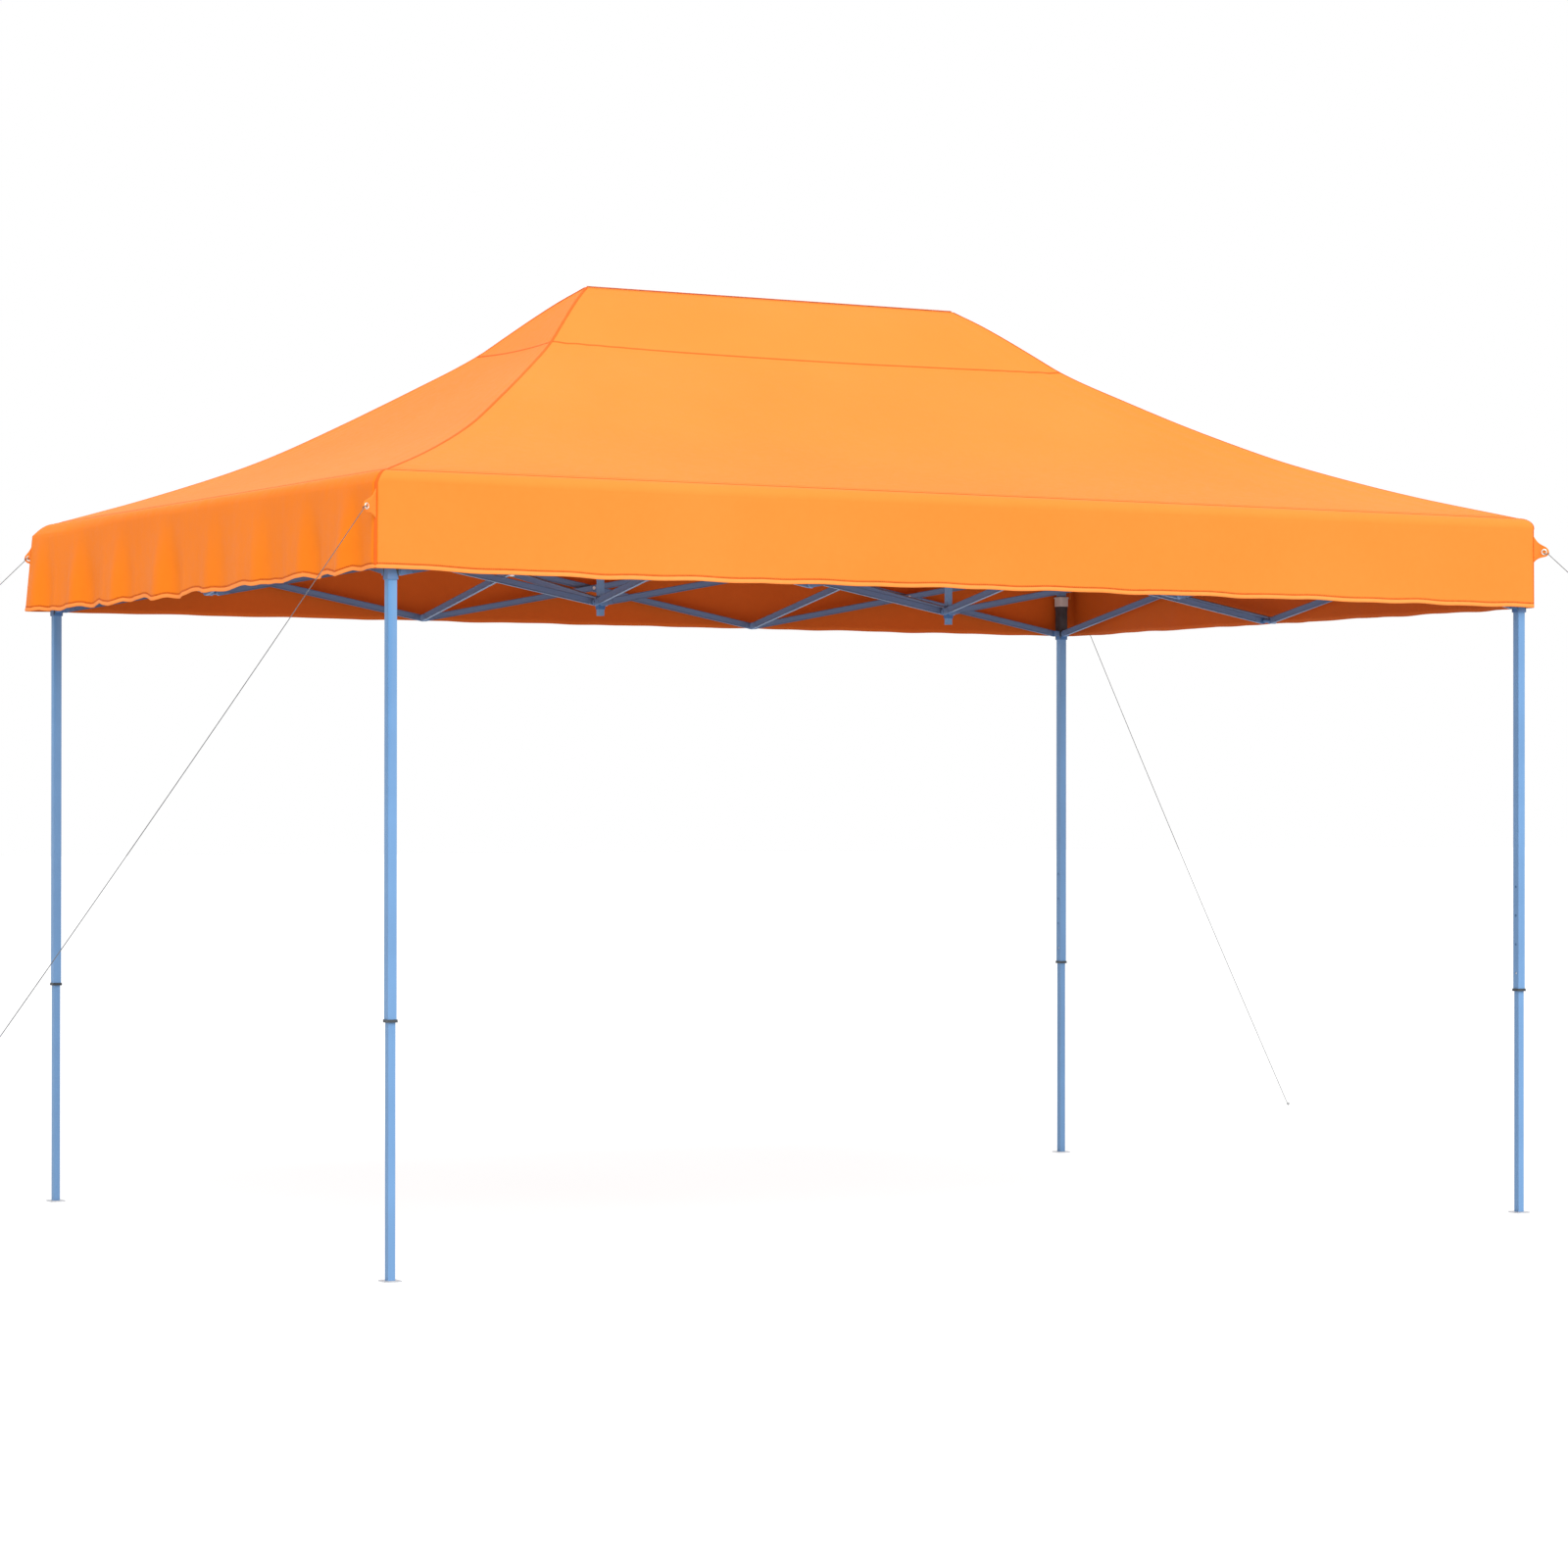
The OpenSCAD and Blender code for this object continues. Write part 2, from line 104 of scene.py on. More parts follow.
class Mat:
    """A small builder for node materials."""

    def __init__(self, name):
        self.m = bpy.data.materials.new(name)
        self.m.use_nodes = True
        self.t = self.m.node_tree
        self.t.nodes.clear()
        self.out = self.n("ShaderNodeOutputMaterial")

    def n(self, kind, **kw):
        node = self.t.nodes.new(kind)
        for k, v in kw.items():
            if k in node.inputs:
                node.inputs[k].default_value = v
            else:
                setattr(node, k, v)
        return node

    def link(self, a, b):
        self.t.links.new(a, b)

    def coord(self, kind="Object"):
        return self.n("ShaderNodeTexCoord").outputs[kind]

    def noise(self, vec, scale, detail=3.0, rough=0.5):
        t = self.n("ShaderNodeTexNoise")
        t.inputs["Scale"].default_value = scale
        t.inputs["Detail"].default_value = detail
        t.inputs["Roughness"].default_value = rough
        self.link(vec, t.inputs["Vector"])
        return t.outputs["Fac"]

    def wave(self, vec, scale, axis="X", dist=0.0):
        t = self.n("ShaderNodeTexWave")
        t.wave_type = "BANDS"
        t.bands_direction = axis
        t.inputs["Scale"].default_value = scale
        t.inputs["Distortion"].default_value = dist
        self.link(vec, t.inputs["Vector"])
        return t.outputs["Fac"]

    def ramp(self, fac, stops):
        r = self.n("ShaderNodeValToRGB")
        e = r.color_ramp.elements
        while len(e) < len(stops):
            e.new(0.5)
        for el, (p, c) in zip(e, stops):
            el.position = p
            el.color = (*c, 1) if len(c) == 3 else c
        self.link(fac, r.inputs["Fac"])
        return r.outputs["Color"]

    def math(self, op, a, b):
        t = self.n("ShaderNodeMath")
        t.operation = op
        for i, v in enumerate((a, b)):
            if isinstance(v, (int, float)):
                t.inputs[i].default_value = v
            else:
                self.link(v, t.inputs[i])
        return t.outputs[0]

    def bump(self, height, strength, dist, normal=None):
        b = self.n("ShaderNodeBump")
        b.inputs["Strength"].default_value = strength
        b.inputs["Distance"].default_value = dist
        self.link(height, b.inputs["Height"])
        if normal is not None:
            self.link(normal, b.inputs["Normal"])
        return b.outputs["Normal"]


def fabric(name, base, dark, light, translucent=0.25, weave=900.0, rough=0.72, crease=0.5, gathers=0.0, spec=0.08):
    """Woven coated polyester: two crossed thread waves, cloudy colour and soft fold marks."""
    k = Mat(name)
    co = k.coord()
    cloud = k.noise(co, 1.1, 4.0, 0.55)
    fine = k.noise(co, 38.0, 3.0, 0.6)
    mix = k.math("ADD", k.math("MULTIPLY", cloud, 0.75), k.math("MULTIPLY", fine, 0.25))
    col = k.ramp(mix, [(0.32, dark), (0.5, base), (0.70, light)])
    wx = k.wave(co, weave, "X")
    wy = k.wave(co, weave, "Y")
    wz = k.wave(co, weave, "Z")
    thread = k.math("ADD", k.math("ADD", wx, wy), wz)
    folds = k.noise(co, 3.2, 2.0, 0.45)
    n1 = k.bump(folds, 0.22 * crease, 0.02)
    if gathers > 0:
        mp = k.n("ShaderNodeMapping")
        mp.inputs["Scale"].default_value = (3.0, 3.0, 0.6)
        k.link(co, mp.inputs["Vector"])
        gat = k.noise(mp.outputs[0], 1.0, 3.0, 0.55)
        n1 = k.bump(gat, gathers, 0.035, n1)
    n2 = k.bump(fine, 0.12, 0.002, n1)
    n3 = k.bump(thread, 0.10, 0.0004, n2)
    p = k.n("ShaderNodeBsdfPrincipled")
    k.link(col, p.inputs["Base Color"])
    rr = k.ramp(fine, [(0.3, (rough - 0.05,) * 3), (0.7, (rough + 0.07,) * 3)])
    k.link(rr, p.inputs["Roughness"])
    p.inputs["Specular IOR Level"].default_value = spec
    p.inputs["Sheen Weight"].default_value = 0.02
    p.inputs["Sheen Roughness"].default_value = 0.4
    k.link(n3, p.inputs["Normal"])
    if translucent > 0:
        tr = k.n("ShaderNodeBsdfTranslucent")
        k.link(col, tr.inputs["Color"])
        k.link(n1, tr.inputs["Normal"])
        mx = k.n("ShaderNodeMixShader")
        mx.inputs[0].default_value = translucent
        k.link(p.outputs[0], mx.inputs[1])
        k.link(tr.outputs[0], mx.inputs[2])
        k.link(mx.outputs[0], k.out.inputs["Surface"])
    else:
        k.link(p.outputs[0], k.out.inputs["Surface"])
    return k.m


def paint(name, base, dark, rough=0.38, metallic=0.0, chip=(0.5, 0.52, 0.55), bevel=0.0):
    """Powder coat on steel: orange-peel bump, slightly uneven colour, edges rubbed lighter."""
    k = Mat(name)
    co = k.coord()
    big = k.noise(co, 6.0, 3.0, 0.5)
    peel = k.noise(co, 900.0, 2.0, 0.5)
    scuff = k.noise(co, 55.0, 6.0, 0.65)
    col = k.ramp(big, [(0.35, dark), (0.65, base)])
    wear = k.ramp(scuff, [(0.70, (0, 0, 0)), (0.78, (1, 1, 1))])
    edge = k.n("ShaderNodeNewGeometry").outputs["Pointiness"]
    em = k.ramp(edge, [(0.52, (0, 0, 0)), (0.60, (1, 1, 1))])
    both = k.math("MAXIMUM", k.math("MULTIPLY", wear, 0.10), k.math("MULTIPLY", em, 0.14))
    mx = k.n("ShaderNodeMixRGB")
    k.link(both, mx.inputs[0])
    k.link(col, mx.inputs[1])
    mx.inputs[2].default_value = (*chip, 1)
    p = k.n("ShaderNodeBsdfPrincipled")
    k.link(mx.outputs[0], p.inputs["Base Color"])
    p.inputs["Metallic"].default_value = metallic
    k.link(k.ramp(scuff, [(0.3, (rough,) * 3), (0.8, (rough + 0.18,) * 3)]), p.inputs["Roughness"])
    p.inputs["Specular IOR Level"].default_value = 0.25
    start = None
    if bevel > 0:
        bv = k.n("ShaderNodeBevel")
        bv.samples = 6
        bv.inputs["Radius"].default_value = bevel
        start = bv.outputs["Normal"]
    k.link(k.bump(peel, 0.25, 0.0004, k.bump(scuff, 0.06, 0.001, start)), p.inputs["Normal"])
    k.link(p.outputs[0], k.out.inputs["Surface"])
    return k.m


def plastic(name, base, light, rough=0.5):
    """Moulded nylon: fine grain, faint flow marks, scuffs."""
    k = Mat(name)
    co = k.coord()
    grain = k.noise(co, 1400.0, 2.0, 0.5)
    flow = k.noise(co, 20.0, 4.0, 0.6)
    scuff = k.noise(co, 140.0, 5.0, 0.7)
    col = k.ramp(flow, [(0.35, base), (0.75, light)])
    p = k.n("ShaderNodeBsdfPrincipled")
    k.link(col, p.inputs["Base Color"])
    k.link(k.ramp(scuff, [(0.35, (rough - 0.08,) * 3), (0.75, (rough + 0.15,) * 3)]), p.inputs["Roughness"])
    k.link(k.bump(grain, 0.2, 0.0003, k.bump(scuff, 0.08, 0.0008)), p.inputs["Normal"])
    k.link(p.outputs[0], k.out.inputs["Surface"])
    return k.m


def steel(name, base, dark, rough=0.3):
    """Zinc-plated steel: spangle, brushed streaks."""
    k = Mat(name)
    co = k.coord()
    spangle = k.noise(co, 160.0, 4.0, 0.7)
    streak = k.n("ShaderNodeMapping")
    streak.inputs["Scale"].default_value = (60.0, 60.0, 900.0)
    k.link(co, streak.inputs["Vector"])
    lines = k.noise(streak.outputs[0], 1.0, 2.0, 0.5)
    col = k.ramp(spangle, [(0.3, dark), (0.7, base)])
    p = k.n("ShaderNodeBsdfPrincipled")
    k.link(col, p.inputs["Base Color"])
    p.inputs["Metallic"].default_value = 0.9
    k.link(k.ramp(lines, [(0.3, (rough,) * 3), (0.7, (rough + 0.2,) * 3)]), p.inputs["Roughness"])
    k.link(k.bump(lines, 0.15, 0.0003), p.inputs["Normal"])
    k.link(p.outputs[0], k.out.inputs["Surface"])
    return k.m


def cord_mat(name, base, dark):
    """Braided cord: two crossed helical waves in the tube's own UV."""
    k = Mat(name)
    uv = k.coord("UV")
    mp = k.n("ShaderNodeMapping")
    mp.inputs["Rotation"].default_value = (0, 0, math.radians(40))
    k.link(uv, mp.inputs["Vector"])
    mq = k.n("ShaderNodeMapping")
    mq.inputs["Rotation"].default_value = (0, 0, math.radians(-40))
    k.link(uv, mq.inputs["Vector"])
    a = k.wave(mp.outputs[0], 3.0, "X")
    b = k.wave(mq.outputs[0], 3.0, "X")
    h = k.math("MAXIMUM", a, b)
    fuzz = k.noise(k.coord(), 700.0, 3.0, 0.6)
    col = k.ramp(k.math("MULTIPLY", h, k.math("ADD", fuzz, 0.4)), [(0.2, dark), (0.7, base)])
    p = k.n("ShaderNodeBsdfPrincipled")
    k.link(col, p.inputs["Base Color"])
    p.inputs["Roughness"].default_value = 0.8
    p.inputs["Sheen Weight"].default_value = 0.3
    k.link(k.bump(h, 0.5, 0.0005), p.inputs["Normal"])
    k.link(p.outputs[0], k.out.inputs["Surface"])
    return k.m


M_OUT = fabric("roof_cloth", (0.86, 0.234, 0.033), (0.84, 0.222, 0.028), (0.88, 0.248, 0.039), translucent=0.10, rough=0.6, spec=0.10)
# painted shade: the inside face is the roof cloth made darker to stand for the shade under the canopy, not a different
# cloth
M_IN_PAINTED_SHADE = fabric("roof_cloth_inside_painted_shade", (0.52, 0.096, 0.010), (0.48, 0.086, 0.008), (0.56, 0.106, 0.012), translucent=0.05, rough=0.6)
# painted shade: the side and back valances use the roof cloth made darker and more saturated to stand for the shade on
# those sides; the gathers are bumps
M_VAL_PAINTED_SHADE = fabric("valance_cloth_painted_shade", (0.86, 0.205, 0.0105), (0.83, 0.190, 0.008), (0.89, 0.222, 0.013), translucent=0.06, rough=0.55, gathers=0.30, spec=0.06)
M_SEAM = fabric("seam_tape", (0.74, 0.125, 0.015), (0.68, 0.105, 0.012), (0.80, 0.145, 0.020), translucent=0.0, crease=0.2)
M_HEM = fabric("hem_cloth", (0.92, 0.28, 0.060), (0.89, 0.26, 0.050), (0.94, 0.31, 0.075), translucent=0.05, crease=0.3)
M_THREAD = fabric("thread", (0.56, 0.085, 0.012), (0.48, 0.068, 0.010), (0.62, 0.10, 0.016), translucent=0.0, crease=0.1)
M_ROPE = cord_mat("guy_cord", (0.08, 0.08, 0.083), (0.035, 0.035, 0.037))
M_BLUE = paint("blue_coat", (0.083, 0.238, 0.48), (0.072, 0.215, 0.44))
# painted shade: the bars use the leg paint made darker to stand for the shade under the canopy; the bevel only rounds
# the edge normals
M_BAR_PAINTED_SHADE = paint("blue_coat_bars_painted_shade", (0.038, 0.108, 0.26), (0.032, 0.096, 0.235), rough=0.34, bevel=0.0075)
M_BLUE2 = paint("blue_coat_fittings", (0.055, 0.150, 0.34), (0.045, 0.13, 0.30), rough=0.45)
M_BLACK = plastic("black_nylon", (0.022, 0.028, 0.034), (0.045, 0.055, 0.064))
M_WHITE = plastic("white_nylon", (0.80, 0.80, 0.77), (0.88, 0.88, 0.86), rough=0.4)
M_GREY = plastic("grey_nylon", (0.42, 0.42, 0.41), (0.55, 0.55, 0.53), rough=0.45)
M_STEEL = steel("zinc_plate", (0.66, 0.67, 0.70), (0.48, 0.49, 0.52))
M_BRASS = steel("eyelet_metal", (0.80, 0.79, 0.74), (0.62, 0.60, 0.54), rough=0.22)

# ---------------------------------------------------------------- soft pieces ride on the crown_l body
ROOT = "crown_l"


def soft(ob):
    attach(ob, ROOT)
    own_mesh(ob)


# ---------------------------------------------------------------- guy ropes
TABS = {"fl": (-2.238, -1.481, 2.294), "fr": (2.208, -1.489, 2.291), "bl": (-2.222, 1.492, 2.288), "br": (2.222, 1.488, 2.290)}
PEGS = {"fl": (-1, -1, -4.450, -2.860), "fr": (1, -1, 4.356, -2.825), "bl": (-1, 1, -4.317, 2.805), "br": (1, 1, 4.284, 2.789)}
ROPE_R = 0.0012
ROPE_N = 24


def rope_route(key, px, py):
    tx, ty, tz = TABS[key]
    dx, dy = px - tx, py - ty
    n = math.hypot(dx, dy)
    a = Vector((tx + dx / n * 0.013, ty + dy / n * 0.013, tz - 0.006))
    b = Vector((px, py, 0.028))
    pts = []
    for i in range(ROPE_N + 1):
        t = i / ROPE_N
        pts.append(a.lerp(b, t) - Vector((0, 0, 0.022 * 4 * t * (1 - t) * (1 - 0.25 * t))))
    return pts


def tube(name, pts, r, sides, mat, closed=False):
    verts, faces, uvs = [], [], []
    n = len(pts)
    length = 0.0
    up = None
    for i, p in enumerate(pts):
        if closed:
            d = (pts[(i + 1) % n] - pts[i - 1]).normalized()
        else:
            d = (pts[min(i + 1, n - 1)] - pts[max(i - 1, 0)]).normalized()
        if up is None:
            up = Vector((0, 0, 1)) if abs(d.z) < 0.95 else Vector((1, 0, 0))
        u = d.cross(up).normalized()
        up = u.cross(d).normalized()
        if i:
            length += (pts[i] - pts[i - 1]).length
        for k in range(sides):
            a = 2 * math.pi * k / sides
            verts.append(p + r * (math.cos(a) * u + math.sin(a) * up))
            uvs.append((length / r, k / sides * 6.283))
    m = n if closed else n - 1
    for i in range(m):
        j = (i + 1) % n
        for k in range(sides):
            l = (k + 1) % sides
            faces.append((i * sides + k, j * sides + k, j * sides + l, i * sides + l))
    if not closed:
        faces.append(tuple(range(sides)))
        faces.append(tuple(reversed(range((n - 1) * sides, n * sides))))
    ob = new_obj(name, verts, faces, [mat], uvs=uvs)
    bm = bmesh.new()
    bm.from_mesh(ob.data)
    bmesh.ops.recalc_face_normals(bm, faces=bm.faces)
    bm.to_mesh(ob.data)
    bm.free()
    return ob


ropes = []
for key, (sx, sy, px, py) in PEGS.items():
    pts = rope_route(key, px, py)
    fine = []
    for i in range(len(pts) - 1):
        for s in range(4):
            fine.append(pts[i].lerp(pts[i + 1], s / 4))
    fine.append(pts[-1])
    ob = tube("guy_rope_" + key, fine, ROPE_R, 10, M_ROPE)
    # the knot that ties the loop for the peg
    d = (pts[-2] - pts[-1]).normalized()
    side = d.cross(Vector((0, 0, 1))).normalized()
    upv = side.cross(d).normalized()
    kp = []
    for i in range(36):
        a = 2 * math.pi * i / 36
        kp.append(pts[-1] + d * (0.008 + 0.004 * math.cos(2 * a)) + side * (0.0042 * math.sin(a) + 0.002 * math.sin(3 * a))
                  + upv * (0.0028 + 0.0030 * math.cos(a)) + Vector((0, 0, 0.0016)))
    knot = tube("rope_knot_" + key, kp, 0.0012, 8, M_ROPE, closed=True)
    # the turn of rope through the eyelet
    tx, ty, tz = TABS[key]
    h = Vector((px - tx, py - ty, 0)).normalized()
    lp = []
    cen = Vector((tx, ty, tz - 0.004)) + h * 0.0075
    nrm = Vector((0, 0, 1))
    for i in range(28):
        a = 2 * math.pi * i / 28
        lp.append(cen + h * (0.0095 * math.cos(a)) + (Vector((-h.y, h.x, 0)) * 0.0050 * math.sin(a)) + nrm * (0.003 * math.sin(a)))
    loop = tube("rope_loop_" + key, lp, 0.0012, 8, M_ROPE, closed=True)
    for o in (ob, knot, loop):
        soft(o)
    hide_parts("rope_" + key)
    ropes.append(ob)

# ---------------------------------------------------------------- canopy surface
RX, RZ = 0.736, 3.190
RIDGE_DX, RIDGE_DY = -0.014, 0.012
EX, EY, EZ = 2.155, 1.427, 2.408       # eave seam
VX, VY = 2.197, 1.471                  # valance plane
SHOULDER = 0.042
HEM_Z = 2.097
PROFILE = [(0, 3.190), (0.05, 3.140), (0.10, 3.082), (0.15, 3.020), (0.20, 2.958), (0.32, 2.846),
           (0.46, 2.727), (0.61, 2.612), (0.82, 2.492), (1.0, 2.408)]


def pchip(points):
    x = np.array([p[0] for p in points], float)
    y = np.array([p[1] for p in points], float)
    h = np.diff(x)
    d = np.diff(y) / h
    m = np.zeros(len(x))
    for i in range(1, len(x) - 1):
        if d[i - 1] * d[i] > 0:
            w1, w2 = 2 * h[i] + h[i - 1], h[i] + 2 * h[i - 1]
            m[i] = (w1 + w2) / (w1 / d[i - 1] + w2 / d[i])
    m[0], m[-1] = d[0], d[-1]

    def f(t):
        i = int(np.clip(np.searchsorted(x, t) - 1, 0, len(h) - 1))
        s = (t - x[i]) / h[i]
        return float((1 + 2 * s) * (1 - s) ** 2 * y[i] + s * (1 - s) ** 2 * h[i] * m[i]
                     + s * s * (3 - 2 * s) * y[i + 1] + s * s * (s - 1) * h[i] * m[i + 1])
    return f


height = pchip(PROFILE)


def side_params(length, extra=()):
    """Shares 0..1 along a side, close together near its ends."""
    near = [0, 0.004, 0.008, 0.013, 0.019, 0.027, 0.04, 0.06, 0.09]
    body = list(np.linspace(0.12, length - 0.12, int((length - 0.24) / 0.017)))
    pts = near + body + [length - v for v in reversed(near)]
    return [float(p / length) for p in pts]


SIDES = [("front", side_params(2 * VX)), ("right", side_params(2 * VY)), ("back", side_params(2 * VX)), ("left", side_params(2 * VY))]


def contour(side, u, hx, hy, r):
    """A point on a rectangle of half sizes hx, hy with corner radius r; u runs anticlockwise along the side."""
    if side == "front":
        a, b, n = Vector((-hx, -hy, 0)), Vector((hx, -hy, 0)), Vector((0, -1, 0))
    elif side == "right":
        a, b, n = Vector((hx, -hy, 0)), Vector((hx, hy, 0)), Vector((1, 0, 0))
    elif side == "back":
        a, b, n = Vector((hx, hy, 0)), Vector((-hx, hy, 0)), Vector((0, 1, 0))
    else:
        a, b, n = Vector((-hx, hy, 0)), Vector((-hx, -hy, 0)), Vector((-1, 0, 0))
    length = (b - a).length
    if length < 1e-9:
        return a.copy(), n
    t = (b - a) / length
    d0, d1 = u * length, (1 - u) * length
    if r > 1e-6 and d0 < r:
        ang = math.pi / 4 * (1 - d0 / r)
        c = a + t * r - n * r
        return c + r * (-t * math.sin(ang) + n * math.cos(ang)), (-t * math.sin(ang) + n * math.cos(ang))
    if r > 1e-6 and d1 < r:
        ang = math.pi / 4 * (1 - d1 / r)
        c = b - t * r - n * r
        return c + r * (t * math.sin(ang) + n * math.cos(ang)), (t * math.sin(ang) + n * math.cos(ang))
    return a + t * d0, n


FOLDS = {
    "left": (0.0175, ((17.0, 0.4, 1.0), (27.0, 2.1, 0.25), (7.0, 1.2, 0.4))),
    "front": (0.0014, ((9.0, 1.1, 1.0), (23.0, 0.2, 0.6), (37.0, 3.0, 0.5), (4.1, 2.2, 1.3))),
    "right": (0.0018, ((13.0, 2.0, 1.0), (23.0, 0.7, 0.7), (41.0, 2.8, 0.3), (5.0, 0.3, 0.8))),
    "back": (0.0014, ((11.0, 2.9, 1.0), (21.0, 1.7, 0.7), (37.0, 0.9, 0.3), (4.1, 2.7, 0.8))),
}


def fold_wave(side, s):
    """Vertical folds of a valance: unequal waves along the side (s in metres), pinched like gathers."""
    a, waves = FOLDS[side]
    w = 0.0
    gather = 0.55 + 0.75 * (0.5 + 0.5 * noise.noise(Vector((s * 2.3, 7.7 * a * 100, 1.0))) * 1.8)
    for f, ph, share in waves:
        x = f * s + ph + 0.9 * math.sin(1.9 * s + ph)
        if side == "left" and share > 0.9:
            # a pleat: rises slowly, falls back quickly
            w += share * (math.sin(x) - 0.45 * math.sin(2 * x) + 0.2 * math.sin(3 * x))
        else:
            w += share * math.sin(x + 0.35 * math.sin(x))
    return a * w * gather


# how far each corner stands away from a true rectangle, at the top of the valance and at the hem
PULL_TOP = {"fl": (-0.008, 0.004), "fr": (-0.008, 0.002), "br": (0.012, 0.002), "bl": (-0.020, 0.020)}
PULL_HEM = {"fl": (-0.008, 0.004), "fr": (-0.011, 0.006), "br": (0.016, 0.002), "bl": (-0.036, 0.031)}
ENDS = {"front": ("fl", "fr"), "right": ("fr", "br"), "back": ("br", "bl"), "left": ("bl", "fl")}


def pull(side, u, length, v):
    out = Vector((0, 0, 0))
    for end in (0, 1):
        key = ENDS[side][end]
        d = (u if end == 0 else 1 - u) * length
        reach = math.exp(-(d / 0.42) ** 2)
        top, hem = Vector((*PULL_TOP[key], 0)), Vector((*PULL_HEM[key], 0))
        if v <= 2:
            out += top * reach * max(0.0, v / 2) ** 6
        else:
            out += top.lerp(hem, v - 2) * reach
    return out


def surface(side, u, v):
    """v: 0..1 roof from ridge to eave seam, 1..2 shoulder, 2..3 valance down to the hem."""
    length = 2 * VX if side in ("front", "back") else 2 * VY
    if v <= 1:
        t = v
        hx, hy = RX + (EX - RX) * t, EY * t
        r = 0.004 + 0.012 * t ** 6 if t > 0.02 else 0.0
        p, n = contour(side, u, hx, hy, min(r, hy * 0.4))
        z = height(t)
        belly = math.sin(math.pi * u) ** 0.9 if 0 < u < 1 else 0.0
        mid_t = math.sin(math.pi * min(1, t)) ** 0.9 if 0 < t < 1 else 0.0
        amp = 0.018 if side in ("front", "back") else 0.014
        z -= amp * belly * mid_t
        # taut lines that run from the corners towards the posts
        edge = min(u, 1 - u)
        z += 0.0022 * math.exp(-edge * 14) * math.sin(edge * length * (34 + 10 * t)) * math.sin(math.pi * t) ** 0.5 if 0 < t < 1 else 0.0
        w = noise.noise(Vector((p.x * 1.1, p.y * 1.1, 0.3))) * 0.006 + noise.noise(Vector((p.x * 3.1, p.y * 3.1, 2.3))) * 0.0022
        z += w * mid_t
        p.z = z
        p += Vector((RIDGE_DX, RIDGE_DY, 0)) * (1 - t) + pull(side, u, length, v)
        return p, n
    if v <= 2:
        a = (v - 1) * math.pi / 2
        gx, gy = VX - EX, VY - EY
        hx, hy = EX + gx * math.sin(a), EY + gy * math.sin(a)
        p, n = contour(side, u, hx, hy, 0.016 + 0.006 * (v - 1))
        p.z = EZ - SHOULDER * (1 - math.cos(a))
        p += pull(side, u, length, v)
        return p, n
    q = v - 2
    p, n = contour(side, u, VX, VY, 0.022)
    s = u * length
    hang = min(1.0, q * 1.5) * (0.75 + 0.25 * q)
    near_end = 1 - math.exp(-(min(u, 1 - u) * length / 0.10) ** 2)
    wv = fold_wave(side, s)
    out = wv * hang * near_end + 0.006 * q
    p += n * out
    p += pull(side, u, length, v)
    top = EZ - SHOULDER
    low = 0.0
    for end in (0, 1):
        d = (u if end == 0 else 1 - u) * length
        reach = 1.0 if side == "left" else 0.45
        low += {"fl": 0.013, "fr": -0.001, "br": 0.0, "bl": 0.0}[ENDS[side][end]] * math.exp(-(d / reach) ** 2)
    if side == "front":
        low += 0.005 * math.sin(math.pi * u) ** 2
    rag = {"left": 0.0034, "front": 0.0016, "right": 0.0012, "back": 0.0010}[side]
    bottom = HEM_Z + (rag * (math.sin(13.3 * s + 0.5) + 0.7 * math.sin(29.1 * s + 1.9)) - 0.35 * abs(wv)) * near_end + 0.002 + low
    p.z = top + (bottom - top) * q
    return p, n


ROWS = [float(v) for v in np.concatenate([
    [0, 0.012, 0.025, 0.04, 0.055, 0.07, 0.085, 0.10, 0.12, 0.14, 0.16, 0.18, 0.20],
    np.linspace(0.23, 0.94, 30), [0.96, 0.975, 0.988, 1.0],
    np.linspace(1.12, 2.0, 9), np.linspace(2.06, 3.0, 17)])]


def build_canopy():
    verts, faces, index = [], [], []
    cols = []
    for si, (side, us) in enumerate(SIDES):
        for u in us[:-1]:
            cols.append((side, u))
    for v in ROWS:
        for side, u in cols:
            p, n = surface(side, u, v)
            verts.append(p)
    nc = len(cols)
    for i in range(len(ROWS) - 1):
        for j in range(nc):
            k = (j + 1) % nc
            faces.append((i * nc + j, (i + 1) * nc + j, (i + 1) * nc + k, i * nc + k))
    ob = new_obj("roof_sheet", verts, faces, [M_OUT, M_IN_PAINTED_SHADE, M_VAL_PAINTED_SHADE, M_IN_PAINTED_SHADE])
    bm = bmesh.new()
    bm.from_mesh(ob.data)
    bmesh.ops.remove_doubles(bm, verts=bm.verts, dist=2e-4)
    bmesh.ops.dissolve_degenerate(bm, edges=bm.edges, dist=1e-5)
    bmesh.ops.recalc_face_normals(bm, faces=bm.faces)
    up = sum((f.normal.z * f.calc_area() for f in bm.faces))
    if up < 0:
        bmesh.ops.reverse_faces(bm, faces=bm.faces)
    for f in bm.faces:
        f.smooth = True
        c = f.calc_center_median()
        # side and back valances get the darker painted-shade cloth; the lit front valance keeps the roof cloth
        if c.z < EZ - 0.004 and (abs(f.normal.x) > 0.5 or c.y > 1.0):
            f.material_index = 2
    bm.to_mesh(ob.data)
    bm.free()
    area = sum(p.area for p in ob.data.polygons)
    mod = ob.modifiers.new("thick", "SOLIDIFY")
    mod.thickness = 0.0012
    mod.offset = -1.0
    # the inner faces take the darker painted-shade copy of the cloth
    mod.material_offset = 1
    mod.use_rim = True
    apply_modifiers(ob)
    return ob, area


roof, roof_area = build_canopy()
soft(roof)
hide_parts("canopy")


